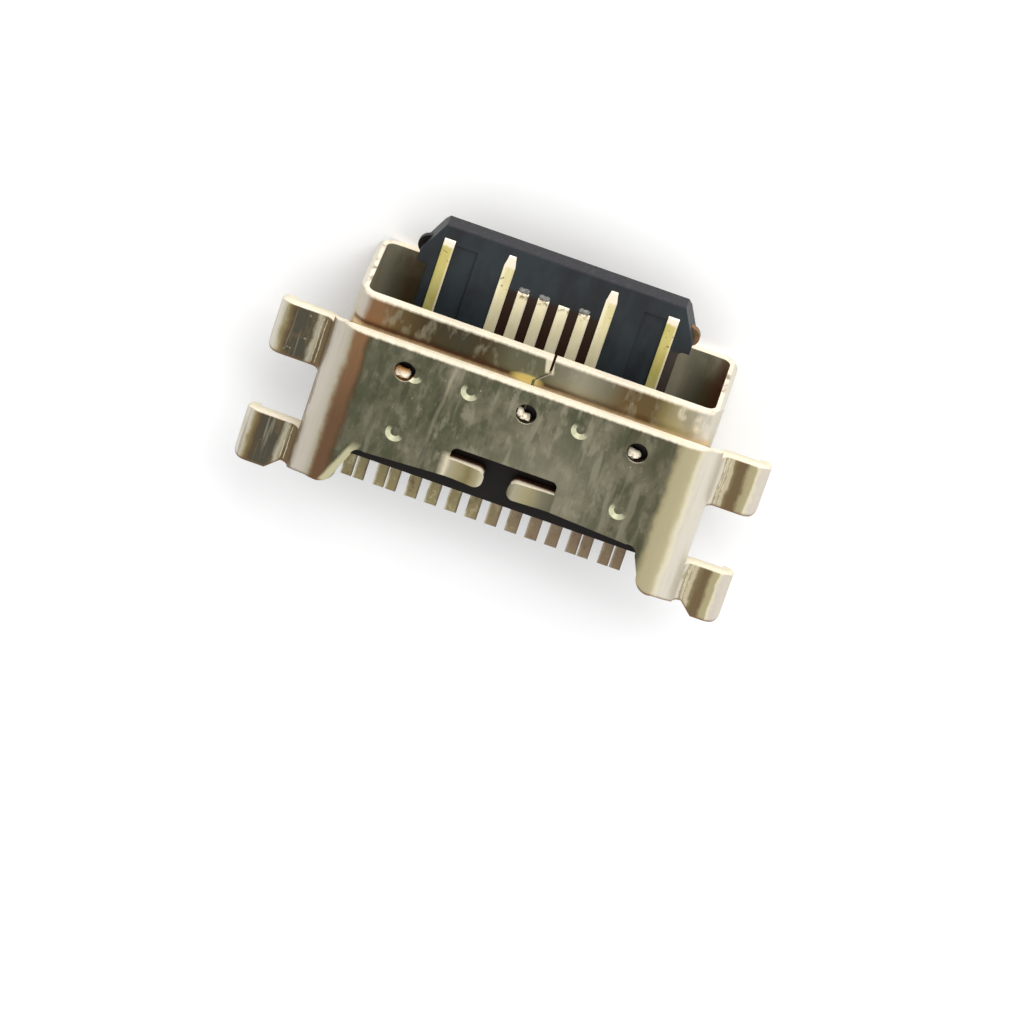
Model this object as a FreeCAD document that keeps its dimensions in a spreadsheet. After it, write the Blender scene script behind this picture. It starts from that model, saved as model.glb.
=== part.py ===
import FreeCAD, Part
import math
import os
import re
import Sketcher

# A board socket for a usb-c plug, in millimetres.
# The origin is the tongue's middle line in the plane of the mouth's rim: the plug comes in
# along +Y, and +Z is the side with the weld dimples. The shell and its cover sit a little to
# the -X side of the tongue (shell_shift), and the stamped slot a little more (stamp_shift).

doc = FreeCAD.newDocument("usb_c_socket")

# Driving dimensions
SIZES = {
    "mouth_width": "8.52",
    "mouth_height": "2.60",
    "mouth_corner": "0.22",
    "shell_corner": "0.54",
    "shell_sheet": "0.20",
    "shell_shift": "-0.08",
    "shell_length": "3.50",
    "notch_width": "4.60",
    "notch_front": "2.80",
    "seam_place": "-0.45",
    "seam_gap": "0.06",
    "seam_turn": "0.42",
    "seam_key": "0.30",
    "cover_sheet": "0.30",
    "cover_gap": "0.04",
    "cover_front": "0.75",
    "cover_rear": "3.70",
    "cover_rear_slant": "0.12",
    "relief_depth": "0.27",
    "relief_start": "0.14",
    "relief_end": "0.69",
    "skirt_inset": "1.18",
    "skirt_flare": "0.27",
    "skirt_round": "0.45",
    "skirt_fillet": "0.20",
    "skirt_rear": "4.95",
    "skirt_foot_rear": "5.33",
    "skirt_slant_start": "0.09",
    "stamp_shift": "-0.17",
    "board_level": "0.50",
    "leg_front": "1.29",
    "leg_width": "1.36",
    "leg_pitch": "3.00",
    "leg_span": "12.10",
    "leg_drop": "0.40",
    "leg_root_radius": "0.20",
    "leg_end_radius": "0.05",
    "leg_relief": "0.10",
    "leg_corner_cut": "0.32",
    "leg_corner": "0.16",
    "slot_width": "2.60",
    "slot_corner": "0.15",
    "slot_front": "2.90",
    "tab_front": "3.21",
    "tab_shift": "-0.085",
    "tab_gap": "0.61",
    "tab_rise": "0.06",
    "tab_flat": "0.20",
    "tab_tip_radius": "0.20",
    "hole_width": "0.50",
    "hole_row": "1.44",
    "left_hole": "2.75",
    "middle_hole": "-0.24",
    "right_hole": "-2.97",
    "dimple_width": "0.45",
    "dimple_floor": "0.22",
    "dimple_depth": "0.06",
    "dimple_front_row": "1.39",
    "dimple_rear_row": "3.06",
    "left_front_dimple": "1.15",
    "right_front_dimple": "-1.56",
    "left_rear_dimple": "2.52",
    "right_rear_dimple": "-3.00",
    "side_dimple": "2.50",
    "insulator_front": "2.75",
    "insulator_rear": "4.14",
    "insulator_gap": "0.03",
    "tongue_tip": "-1.78",
    "tongue_tip_width": "5.86",
    "tongue_width": "6.70",
    "tongue_waist": "6.20",
    "tongue_shoulder": "-0.92",
    "tongue_notch": "-0.65",
    "notch_radius": "0.12",
    "tongue_thickness": "0.70",
    "tongue_bevel": "0.02",
    "tongue_far_bevel": "0.20",
    "recess_depth": "0.05",
    "recess_inner": "2.05",
    "recess_outer": "2.70",
    "recess_front": "-1.33",
    "root_front": "2.10",
    "root_width": "6.80",
    "root_thickness": "1.30",
    "plate_thickness": "0.15",
    "plate_front": "-1.40",
    "plate_rear": "3.40",
    "plate_ear_width": "6.92",
    "plate_ear_place": "-0.97",
    "plate_ear_length": "0.46",
    "plate_ear_radius": "0.25",
    "plate_inset": "0.15",
    "strip_thickness": "0.15",
    "contact_pitch": "0.50",
    "contact_width": "0.27",
    "contact_proud": "0.03",
    "contact_tip_radius": "0.08",
    "power_tip_width": "0.16",
    "power_shoulder": "-1.29",
    "ground_tip": "-1.46",
    "power_tip": "-1.59",
    "signal_tip": "-0.78",
    "jog_front": "2.25",
    "jog_rear": "3.45",
    "rise_front": "3.55",
    "rise_length": "0.25",
    "tail_width": "0.30",
    "pair_tail_width": "0.27",
    "tail_pitch": "0.50",
    "pair_pitch": "0.30",
    "power_pair": "2.40",
    "ground_pair": "3.20",
    "tail_end": "5.20",
    "insert_front": "2.95",
    "insert_rear": "3.45",
    "insert_width": "7.40",
    "insert_height": "0.50",
    "cut_margin": "1.00",
}

# Places and sizes that follow from the driving ones
DERIVED = {
    "mouth_half": "mouth_width / 2",
    "mouth_top": "mouth_height / 2",
    "shell_half": "mouth_half + shell_sheet",
    "shell_top": "mouth_top + shell_sheet",
    "cover_half": "shell_half + cover_gap + cover_sheet",
    "cover_under": "shell_top + cover_gap",
    "cover_top": "cover_under + cover_sheet",
    "cover_inner_bend": "shell_corner + cover_gap",
    "cover_bend": "cover_inner_bend + cover_sheet",
    "bend_x": "cover_half - cover_bend",
    "bend_z": "cover_top - cover_bend",
    "leg_top": "board_level + cover_sheet",
    "root_z": "leg_top + leg_root_radius",
    "root_span": "cover_bend + leg_root_radius",
    "root_x": "bend_x + sqrt(root_span ^ 2 - (root_z - bend_z) ^ 2)",
    "meet_x": "bend_x + (root_x - bend_x) * cover_bend / root_span",
    "meet_z": "bend_z + (root_z - bend_z) * cover_bend / root_span",
    "inner_meet_x": "bend_x + (root_x - bend_x) * cover_inner_bend / root_span",
    "inner_meet_z": "bend_z + (root_z - bend_z) * cover_inner_bend / root_span",
    "wall_inner_x": "bend_x + sqrt(cover_inner_bend ^ 2 - (meet_z - bend_z) ^ 2)",
    "leg_half": "leg_span / 2",
    "leg_end_outer": "leg_end_radius + cover_sheet",
    "leg_rear": "leg_front + leg_width",
    "hind_leg_front": "leg_front + leg_pitch",
    "hind_leg_rear": "hind_leg_front + leg_width",
    "slot_half": "slot_width / 2",
    "skirt_half": "cover_half + stamp_shift - skirt_inset",
    "skirt_front": "cover_rear + cover_rear_slant",
    "skirt_slope": "skirt_flare / (skirt_rear - skirt_round - skirt_front)",
    "tongue_half": "tongue_width / 2",
    "tip_half": "tongue_tip_width / 2",
    "waist_half": "tongue_waist / 2",
    "tongue_top": "tongue_thickness / 2",
    "plate_half": "waist_half - plate_inset",
    "ear_half": "plate_ear_width / 2",
    "ear_base": "ear_half - plate_ear_radius + sqrt(plate_ear_radius ^ 2 - plate_ear_length ^ 2 / 4)",
    "strip_high": "tongue_top + contact_proud",
    "strip_low": "strip_high - strip_thickness",
    "upper_rise": "board_level - strip_low",
    "lower_rise": "board_level + strip_high",
    "upper_shift": "strip_thickness * (sqrt(upper_rise ^ 2 + rise_length ^ 2) - rise_length) / upper_rise",
    "lower_shift": "strip_thickness * (sqrt(lower_rise ^ 2 + rise_length ^ 2) - rise_length) / lower_rise",
    "core_half": "mouth_half - insulator_gap",
    "core_top": "mouth_top - insulator_gap",
    "core_corner": "mouth_corner - insulator_gap",
    "flange_front": "shell_length + insulator_gap",
    "ridge_half": "notch_width / 2 - insulator_gap",
    "ridge_front": "notch_front + insulator_gap",
}

sheet = doc.addObject("Spreadsheet::Sheet", "sizes")
for row, (alias, value) in enumerate(SIZES.items(), start=1):
    sheet.set(f"A{row}", alias)
    sheet.set(f"B{row}", value)
    sheet.setAlias(f"B{row}", alias)
doc.recompute()
places = doc.addObject("App::VarSet", "places")


# Edges and points closer than this count as touching
TOUCH = 1e-4


def full(text):
    """Gives the bare names in an expression their owner, the sheet or the derived set."""
    def owned(match):
        word = match.group()
        if word in SIZES:
            return "sizes." + word
        if word in DERIVED:
            return "places." + word
        return word
    return re.sub(r"[a-z_]+", owned, text)


for name, text in DERIVED.items():
    places.addProperty("App::PropertyFloat", name)
    places.setExpression(name, full(text))
doc.recompute()


def number(text):
    """The present value of an expression, used only for a sketch's first shape."""
    return float(sheet.evalExpression(full(text)))


def bound(target, **expressions):
    for name, text in expressions.items():
        target.setExpression(name, full(text))


def new_body(label):
    body = doc.addObject("PartDesign::Body", label)
    body.Label = label
    return body


def arc_between(start, end, radius, side):
    """The short arc from start to end; side 1 turns left, side -1 turns right."""
    chord = end - start
    middle = (start + end) * 0.5
    left = FreeCAD.Vector(-chord.y, chord.x, 0).normalize()
    reach = math.sqrt(max(radius ** 2 - (chord.Length / 2) ** 2, 0))
    centre = middle + left * reach * side
    outward = (middle - centre) if reach > TOUCH else left * -side
    crown = centre + outward.normalize() * radius
    return Part.Arc(start, crown, end)


def add_loop(sketch, loop):
    """Adds one closed outline. A corner is (x, y), or (x, y, radius, side) before an arc."""
    corners = [FreeCAD.Vector(number(corner[0]), number(corner[1]), 0) for corner in loop]
    first = sketch.GeometryCount
    ends = []
    for index, corner in enumerate(loop):
        start = corners[index]
        end = corners[(index + 1) % len(loop)]
        if len(corner) == 2:
            sketch.addGeometry(Part.LineSegment(start, end), False)
            ends.append((1, 2))
        else:
            arc = arc_between(start, end, number(corner[2]), corner[3])
            sketch.addGeometry(arc, False)
            ends.append((1, 2) if corner[3] > 0 else (2, 1))
    for index in range(len(loop)):
        following = (index + 1) % len(loop)
        sketch.addConstraint(Sketcher.Constraint(
            "Coincident", first + index, ends[index][1], first + following, ends[following][0]))
    for index, corner in enumerate(loop):
        point = ends[index][0]
        for kind, text, value in (
                ("DistanceX", corner[0], corners[index].x), ("DistanceY", corner[1], corners[index].y)):
            place = sketch.addConstraint(Sketcher.Constraint(kind, -1, 1, first + index, point, value))
            sketch.setExpression(f"Constraints[{place}]", full(text))
        if len(corner) == 4:
            radius = sketch.addConstraint(Sketcher.Constraint("Radius", first + index, number(corner[2])))
            sketch.setExpression(f"Constraints[{radius}]", full(corner[2]))


def add_circle(sketch, x, y, radius):
    circle = Part.Circle(FreeCAD.Vector(number(x), number(y), 0), FreeCAD.Vector(0, 0, 1), number(radius))
    index = sketch.addGeometry(circle, False)
    for kind, text in (("DistanceX", x), ("DistanceY", y)):
        place = sketch.addConstraint(Sketcher.Constraint(kind, -1, 1, index, 3, number(text)))
        sketch.setExpression(f"Constraints[{place}]", full(text))
    place = sketch.addConstraint(Sketcher.Constraint("Radius", index, number(radius)))
    sketch.setExpression(f"Constraints[{place}]", full(radius))


def new_sketch(body, name, role, loops=(), circles=(), offset="0"):
    """A sketch on the body's own origin plane, moved by offset along the plane's normal."""
    sketch = body.newObject("Sketcher::SketchObject", name)
    plane = next(feature for feature in body.Origin.OriginFeatures if feature.Role == role)
    sketch.AttachmentSupport = [(plane, "")]
    sketch.MapMode = "FlatFace"
    sketch.setExpression("AttachmentOffset.Base.z", full(offset))
    for loop in loops:
        add_loop(sketch, loop)
    for circle in circles:
        add_circle(sketch, *circle)
    return sketch


def pad_along_y(body, name, loops, start, end):
    """Pads XZ outlines from y = start to y = end; that plane's normal points to -Y."""
    sketch = new_sketch(body, name + "_outline", "XZ_Plane", loops, offset=f"-({end})")
    pad = body.newObject("PartDesign::Pad", name)
    pad.Profile = sketch
    bound(pad, Length=f"({end}) - ({start})")
    return pad


def pad_plan(body, name, loops, low, high):
    """Pads plan outlines from z = low to z = high."""
    sketch = new_sketch(body, name + "_outline", "XY_Plane", loops, offset=low)
    pad = body.newObject("PartDesign::Pad", name)
    pad.Profile = sketch
    bound(pad, Length=f"({high}) - ({low})")
    return pad


def cut_through(body, name, role, loops=(), circles=(), kind="Symmetric", offset="0"):
    """Pockets outlines through everything, to both sides or only along the plane's normal."""
    doc.recompute()
    before = body.Shape.Volume
    sketch = new_sketch(body, name + "_outline", role, loops, circles, offset)
    pocket = body.newObject("PartDesign::Pocket", name)
    pocket.Profile = sketch
    pocket.Type = "ThroughAll"
    if kind == "Symmetric":
        pocket.SideType = "Symmetric"
    else:
        pocket.Reversed = True
    doc.recompute()
    if body.Shape.Volume >= before:
        raise RuntimeError(name + " removed nothing")
    return pocket


def mirrored(loop):
    """The loop's mirror image in x, walked the same way along its corners."""
    turned = []
    for corner in loop:
        x = f"-({corner[0]})"
        turned.append((x, corner[1]) if len(corner) == 2 else (x, corner[1], corner[2], -corner[3]))
    return turned


def both_sides(side):
    """Closes an outline that is drawn for +X only, walked from front to rear, with its mirror image."""
    other = []
    for index in range(len(side) - 1, -1, -1):
        x, y = side[index][:2]
        arc = side[index - 1][2:] if index else ()
        other.append((f"-({x})", y) + arc)
    return side + other


def shifted(loop, shift):
    return [(f"{shift} + ({corner[0]})",) + corner[1:] for corner in loop]


def treat_edges(body, name, kind, size, chosen):
    """Fillets or chamfers the edges whose bounding box passes the test chosen."""
    doc.recompute()
    names = []
    for index, edge in enumerate(body.Shape.Edges, start=1):
        if chosen(edge.BoundBox):
            names.append(f"Edge{index}")
    last = body.Tip
    feature = body.newObject("PartDesign::" + kind, name)
    feature.Base = (last, names)
    bound(feature, **{"Radius" if kind == "Fillet" else "Size": size})


def treat_cross_edges(body, name, kind, size, along, level):
    """Fillets or chamfers the edges that run straight across at y = along and z = level."""
    def crosses(box):
        flat = box.YLength < TOUCH and box.ZLength < TOUCH
        return flat and abs(box.YMin - number(along)) < TOUCH and abs(box.ZMin - number(level)) < TOUCH
    treat_edges(body, name, kind, size, crosses)


def rounded_box(half, low, high, radius):
    """A rectangle about x = 0 with four round corners, walked counter-clockwise."""
    return [
        (f"{radius} - {half}", low),
        (f"{half} - {radius}", low, radius, 1),
        (half, f"{low} + {radius}"),
        (half, f"{high} - {radius}", radius, 1),
        (f"{half} - {radius}", high),
        (f"{radius} - {half}", high, radius, 1),
        (f"-{half}", f"{high} - {radius}"),
        (f"-{half}", f"{low} + {radius}", radius, 1),
    ]


def box_loop(left, right, low, high):
    return [(left, low), (right, low), (right, high), (left, high)]


# Inner shell: a ring of thin sheet with a keyed seam in its near wall
def shell_outline():
    return shifted(rounded_box("shell_half", "-shell_top", "shell_top", "shell_corner"), "shell_shift")


def make_inner_shell():
    body = new_body("inner_shell")
    ring = [
        shell_outline(),
        shifted(rounded_box("mouth_half", "-mouth_top", "mouth_top", "mouth_corner"), "shell_shift"),
    ]
    pad_along_y(body, "shell_ring", ring, "0", "shell_length")
    notch = box_loop("shell_shift - notch_width / 2", "shell_shift + notch_width / 2",
                     "notch_front", "shell_length + cut_margin")
    cut_through(body, "shell_notch", "XY_Plane", [notch], kind="Up")
    path = [
        ("seam_place", "-cut_margin"),
        ("seam_place", "seam_turn"),
        ("seam_place + seam_key", "seam_turn + seam_key"),
        ("seam_place + seam_key", "notch_front - seam_turn - seam_key"),
        ("seam_place", "notch_front - seam_turn"),
        ("seam_place", "notch_front + seam_gap"),
    ]
    right = [(f"{x} + seam_gap / 2", y) for x, y in path]
    left = [(f"{x} - seam_gap / 2", y) for x, y in reversed(path)]
    cut_through(body, "shell_seam", "XY_Plane", [right + left], kind="Up")
    return body


# Outer bracket: a folded cover with four legs, two weld tabs, holes and weld dimples
def hood_section():
    return [
        ("cover_half - cover_sheet", "board_level"),
        ("cover_half", "board_level"),
        ("cover_half", "bend_z", "cover_bend", 1),
        ("bend_x", "cover_top"),
        ("-bend_x", "cover_top", "cover_bend", 1),
        ("-cover_half", "bend_z"),
        ("-cover_half", "board_level"),
        ("cover_sheet - cover_half", "board_level"),
        ("cover_sheet - cover_half", "bend_z", "cover_inner_bend", -1),
        ("-bend_x", "cover_under"),
        ("bend_x", "cover_under", "cover_inner_bend", -1),
        ("cover_half - cover_sheet", "bend_z"),
    ]


def leg_section(shift):
    """A leg on the +X side: its root moves with the cover, and its end keeps its place."""
    above = [
        ("meet_x", "meet_z", "leg_root_radius", 1),
        ("root_x", "leg_top"),
    ]
    end = [
        ("leg_half - leg_end_outer", "leg_top", "leg_end_outer", -1),
        ("leg_half", "leg_top - leg_end_outer"),
        ("leg_half", "leg_top - leg_drop"),
        ("leg_half - cover_sheet", "leg_top - leg_drop"),
        ("leg_half - cover_sheet", "leg_top - leg_end_outer", "leg_end_radius", 1),
        ("leg_half - leg_end_outer", "board_level"),
    ]
    below = [
        ("root_x", "board_level", "leg_root_radius + cover_sheet", -1),
        ("inner_meet_x", "inner_meet_z", "cover_inner_bend", 1),
        ("wall_inner_x", "meet_z"),
    ]
    return shifted(above, shift) + end + shifted(below, shift)


def corner_waste(edge, inward, side):
    """What a round corner takes off a leg's end, where inward leads from the edge into the leg."""
    return [
        ("leg_half - leg_corner", edge, "leg_corner", side),
        ("leg_half", f"{edge} + ({inward})"),
        ("leg_half + leg_corner", f"{edge} + ({inward})"),
        ("leg_half + leg_corner", f"{edge} - ({inward})"),
        ("leg_half - leg_corner", f"{edge} - ({inward})"),
    ]


def make_outer_bracket():
    body = new_body("outer_bracket")
    pad_along_y(body, "hood", [shifted(hood_section(), "shell_shift")], "cover_front", "skirt_foot_rear")

    # The wall is lanced free beside each leg, and open in front of the front leg
    windows = []
    for front, rear in (("cover_front - cut_margin", "leg_rear + leg_relief"),
                        ("hind_leg_front - leg_relief", "skirt_foot_rear + cut_margin")):
        windows.append(box_loop(front, rear, "board_level - cut_margin", "meet_z"))
    cut_through(body, "leg_windows", "YZ_Plane", windows)
    legs = [leg_section("shell_shift"), mirrored(leg_section("-shell_shift"))]
    pad_along_y(body, "front_legs", legs, "leg_front", "leg_rear")
    pad_along_y(body, "hind_legs", legs, "hind_leg_front", "hind_leg_rear")

    # The front and rear edges of the side walls slant back towards the legs
    slants = [
        [
            ("cover_front - cut_margin", "cover_top - relief_start"),
            ("cover_front", "cover_top - relief_start", "cover_bend", -1),
            ("cover_front + relief_depth", "cover_top - relief_end"),
            ("leg_front", "meet_z"),
            ("cover_front - cut_margin", "meet_z"),
        ],
        [
            ("skirt_rear", "cover_top + cut_margin"),
            ("skirt_rear", "cover_top - skirt_slant_start"),
            ("skirt_foot_rear", "meet_z"),
            ("skirt_foot_rear + cut_margin", "meet_z"),
            ("skirt_foot_rear + cut_margin", "cover_top + cut_margin"),
        ],
    ]
    cut_through(body, "wall_slants", "YZ_Plane", slants)

    # The slot, and behind it the open space between the two skirts
    left_side = [
        ("slot_half - slot_corner", "slot_front", "slot_corner", 1),
        ("slot_half", "slot_front + slot_corner"),
        ("slot_half", "cover_rear"),
        ("skirt_half - skirt_fillet", "skirt_front", "skirt_fillet", 1),
        ("skirt_half + skirt_slope * skirt_fillet", "skirt_front + skirt_fillet"),
        ("skirt_half + skirt_flare", "skirt_rear - skirt_round", "skirt_round", -1),
        ("skirt_half + skirt_flare + skirt_round", "skirt_rear"),
        ("skirt_half + skirt_flare + skirt_round", "skirt_rear + cut_margin"),
    ]
    opening = shifted(both_sides(left_side), "stamp_shift")
    cut_through(body, "rear_opening", "XY_Plane", [opening])

    # The rear leg's root is cut back where it leaves the wall
    root_cut = [
        ("bend_x", "skirt_foot_rear"),
        ("root_x", "skirt_foot_rear"),
        ("root_x + leg_corner_cut", "hind_leg_rear"),
        ("root_x + leg_corner_cut", "hind_leg_rear + cut_margin"),
        ("bend_x", "hind_leg_rear + cut_margin"),
    ]
    root_cuts = [shifted(root_cut, "shell_shift"), mirrored(shifted(root_cut, "-shell_shift"))]
    cut_through(body, "root_cuts", "XY_Plane", root_cuts)
    corners = []
    for front, rear in (("leg_front", "leg_rear"), ("hind_leg_front", "hind_leg_rear")):
        corners += [corner_waste(front, "leg_corner", 1), corner_waste(rear, "-leg_corner", -1)]
    corners += [mirrored(corner) for corner in corners]
    cut_through(body, "leg_corners", "XY_Plane", corners)

    # Two tabs reach into the slot and are set up a little at their tips
    tabs = []
    for side in ("", "-"):
        root = f"stamp_shift + {side}slot_half"
        bend = f"stamp_shift + {side}(slot_half - tab_flat)"
        knee = f"tab_shift + {side}(tab_gap / 2 + tab_flat)"
        tip = f"tab_shift + {side}tab_gap / 2"
        tabs.append([
            (root, "cover_under"),
            (root, "cover_top"),
            (bend, "cover_top"),
            (knee, "cover_top + tab_rise"),
            (tip, "cover_top + tab_rise"),
            (tip, "cover_under + tab_rise"),
            (knee, "cover_under + tab_rise"),
            (bend, "cover_under"),
        ])
    pad_along_y(body, "tabs", tabs, "tab_front", "cover_rear")
    tips = [number("tab_shift + tab_gap / 2"), number("tab_shift - tab_gap / 2")]

    def stands_at_tip(box):
        upright = box.XLength < TOUCH and box.YLength < TOUCH
        return upright and any(abs(box.XMin - tip) < TOUCH for tip in tips)
    treat_edges(body, "tab_tips", "Fillet", "tab_tip_radius", stands_at_tip)

    press_dimple(body, "side_dimple", "hole_row")
    holes = []
    for place in ("left_hole", "middle_hole", "right_hole"):
        holes.append((place, "hole_row", "hole_width / 2"))
    cut_through(body, "cover_holes", "XY_Plane", circles=holes)
    for place in ("left_front_dimple", "right_front_dimple"):
        press_dimple(body, place, "dimple_front_row")
    for place in ("left_rear_dimple", "right_rear_dimple"):
        press_dimple(body, place, "dimple_rear_row")
    return body


def press_dimple(body, across, along):
    """A shallow dish with a flat floor in the cover's face, the mark of a spot weld."""
    dish = body.newObject("PartDesign::SubtractiveCone", across + "_dish")
    bound(dish, Radius1="dimple_floor / 2", Radius2="dimple_width / 2", Height="dimple_depth")
    dish.setExpression("Placement.Base.x", full(across))
    dish.setExpression("Placement.Base.y", full(along))
    dish.setExpression("Placement.Base.z", full("cover_top - dimple_depth"))


# Mid plate: the steel sheet in the middle of the tongue, with latch ears at its sides
def make_mid_plate():
    body = new_body("mid_plate")
    side = [
        ("tip_half - plate_inset", "plate_front"),
        ("ear_base", "plate_ear_place - plate_ear_length / 2", "plate_ear_radius", 1),
        ("ear_base", "plate_ear_place + plate_ear_length / 2"),
        ("plate_half", "tongue_notch"),
        ("plate_half", "plate_rear"),
    ]
    pad_plan(body, "plate", [both_sides(side)], "-plate_thickness / 2", "plate_thickness / 2")
    return body


# Contacts: sixteen strips, each bent once and jogged sideways from its contact to its tail
PLACES_IN_ROW = (1, 4, 5, 6, 7, 8, 9, 12)
GROUND_PLACES = (1, 12)
POWER_PLACES = (4, 9)
ROW_MIDDLE = sum(PLACES_IN_ROW) / len(PLACES_IN_ROW)


def make_contact(row, place):
    body = new_body(f"contact_{row}{place}")
    outward = 1 if place > ROW_MIDDLE else -1
    steps = abs(place - ROW_MIDDLE)
    side = outward if row == "a" else -outward
    contact_x = f"{side * steps} * contact_pitch"
    if place in GROUND_PLACES:
        tip, tail_width = "ground_tip", "pair_tail_width"
        tail = "ground_pair - pair_pitch / 2" if row == "a" else "ground_pair + pair_pitch / 2"
    elif place in POWER_PLACES:
        tip, tail_width = "power_tip", "pair_tail_width"
        tail = "power_pair - pair_pitch / 2" if row == "a" else "power_pair + pair_pitch / 2"
    else:
        # The single tails of the two rows take turns, one pitch apart
        tip, tail_width = "signal_tip", "tail_width"
        tail = f"({2 * steps} - 1 / 2) * tail_pitch" if row == "a" else f"({2 * steps} + 1 / 2) * tail_pitch"
    tail_x = f"{side} * ({tail})"

    # The bent strip, seen from the side; its tail lies on the board
    if row == "a":
        low, high, shift = "strip_low", "strip_high", "upper_shift"
    else:
        low, high, shift = "-strip_high", "-strip_low", "lower_shift"
    bend = [
        (tip, low),
        ("rise_front", low),
        ("rise_front + rise_length", "board_level"),
        ("tail_end", "board_level"),
        ("tail_end", "board_level + strip_thickness"),
        (f"rise_front + rise_length - {shift}", "board_level + strip_thickness"),
        (f"rise_front - {shift}", high),
        (tip, high),
    ]
    sketch = new_sketch(body, "bend", "YZ_Plane", [bend])
    pad = body.newObject("PartDesign::Pad", "strip")
    pad.Profile = sketch
    pad.SideType = "Symmetric"
    bound(pad, Length="insert_width + tongue_width")

    # The blank's plan outline; what lies beside it is cut away
    half = "contact_width / 2"
    tip_half = "power_tip_width / 2" if tip == "power_tip" else half
    edge = [
        (contact_x, tip_half, tip + " - cut_margin"),
        (contact_x, tip_half, tip),
        (contact_x, half, "power_shoulder"),
        (contact_x, half, "jog_front"),
        (tail_x, tail_width + " / 2", "jog_rear"),
        (tail_x, tail_width + " / 2", "tail_end + cut_margin"),
    ]
    if tip != "power_tip":
        edge = edge[:1] + edge[3:]
    outline = [(f"{x} + {wide}", y) for x, wide, y in edge]
    outline += [(f"{x} - {wide}", y) for x, wide, y in reversed(edge)]
    around = box_loop("-insert_width - tongue_width", "insert_width + tongue_width",
                      "tongue_tip - 2 * cut_margin", "tail_end + 2 * cut_margin")
    cut_through(body, "blank", "XY_Plane", [around, outline])
    face = "strip_high" if row == "a" else "-strip_high"
    treat_cross_edges(body, "tip_round", "Fillet", "contact_tip_radius", tip, face)
    return body


# Inserts: the two first mouldings, each round one row of contacts, on either side of the plate
def make_insert_block(name, low):
    block = doc.addObject("Part::Box", name)
    bound(block, Length="insert_width", Width="insert_rear - insert_front", Height="insert_height")
    block.setExpression("Placement.Base.x", full("-insert_width / 2"))
    block.setExpression("Placement.Base.y", full("insert_front"))
    block.setExpression("Placement.Base.z", full(low))
    return block


def cut_by(label, base, tools):
    """The base with the tools' exact shapes taken out, as plastic moulded round them."""
    joined = doc.addObject("Part::MultiFuse", label + "_moulded_in")
    joined.Shapes = tools
    cut = doc.addObject("Part::Cut", label)
    cut.Label = label
    cut.Base = base
    cut.Tool = joined
    return cut


# Insulator: the plug's tongue, the core inside the shell and the flange behind it
def make_insulator_form():
    body = new_body("insulator_form")
    core = shifted(rounded_box("core_half", "-core_top", "core_top", "core_corner"), "shell_shift")
    pad_along_y(body, "core", [core], "insulator_front", "insulator_rear")
    pad_along_y(body, "flange", [shell_outline()], "flange_front", "insulator_rear")
    ridge = shifted(box_loop("-ridge_half", "ridge_half", "0", "shell_top"), "shell_shift")
    pad_along_y(body, "ridge", [ridge], "ridge_front", "flange_front + insulator_gap")
    tongue = tongue_outline()
    pad_plan(body, "tongue", [tongue], "-tongue_top", "tongue_top")
    root = box_loop("-root_width / 2", "root_width / 2", "root_front", "insulator_front + insulator_gap")
    pad_plan(body, "tongue_root", [root], "-root_thickness / 2", "root_thickness / 2")
    treat_cross_edges(body, "near_bevel", "Chamfer", "tongue_bevel", "tongue_tip", "tongue_top")
    treat_cross_edges(body, "far_bevel", "Chamfer", "tongue_far_bevel", "tongue_tip", "-tongue_top")
    recess = box_loop("recess_inner", "recess_outer", "recess_front", "root_front")
    for side in ("near", "far"):
        shallow_recess(body, side, [recess, mirrored(recess)])
    return body


def shallow_recess(body, side, loops):
    """Lowers the tongue's face between its wide-set contacts, on the near or the far side."""
    doc.recompute()
    before = body.Shape.Volume
    level = "tongue_top" if side == "near" else "-tongue_top"
    sketch = new_sketch(body, side + "_recess_outline", "XY_Plane", loops, offset=level)
    pocket = body.newObject("PartDesign::Pocket", side + "_recess")
    pocket.Profile = sketch
    pocket.Reversed = side == "far"
    bound(pocket, Length="recess_depth")
    doc.recompute()
    if body.Shape.Volume >= before:
        raise RuntimeError(side + " recess removed nothing")


def tongue_outline():
    side = [
        ("tip_half", "tongue_tip"),
        ("tongue_half", "tongue_shoulder"),
        ("tongue_half", "tongue_notch"),
        ("waist_half + notch_radius", "tongue_notch", "notch_radius", -1),
        ("waist_half", "tongue_notch + notch_radius"),
        ("waist_half", "insulator_front + insulator_gap"),
    ]
    return both_sides(side)


shell = make_inner_shell()
bracket = make_outer_bracket()
plate = make_mid_plate()
upper_contacts = [make_contact("a", place) for place in PLACES_IN_ROW]
lower_contacts = [make_contact("b", place) for place in PLACES_IN_ROW]
upper_block = make_insert_block("upper_block", "plate_thickness / 2")
lower_block = make_insert_block("lower_block", "-plate_thickness / 2 - insert_height")
upper_insert = cut_by("upper_contact_insert", upper_block, upper_contacts)
lower_insert = cut_by("lower_contact_insert", lower_block, lower_contacts)
form = make_insulator_form()
insulator = cut_by("insulator_body", form,
                   [plate, upper_block, lower_block] + upper_contacts + lower_contacts)
doc.recompute()

sub_parts = [shell, bracket, insulator, upper_insert, lower_insert, plate]
sub_parts += upper_contacts + lower_contacts
for item in doc.Objects:
    if "Invalid" in item.State or "Error" in item.State:
        raise RuntimeError(f"{item.Label} is {item.State}")
for item in sub_parts:
    if item.Shape.isNull() or not item.Shape.isValid() or len(item.Shape.Solids) != 1:
        raise RuntimeError(f"{item.Label} is not one valid solid")

os.makedirs("parts", exist_ok=True)
for item in sub_parts:
    item.Shape.exportStep(f"parts/{item.Label}.step")
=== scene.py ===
import math
import bpy
from mathutils import Matrix, Vector


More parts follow.
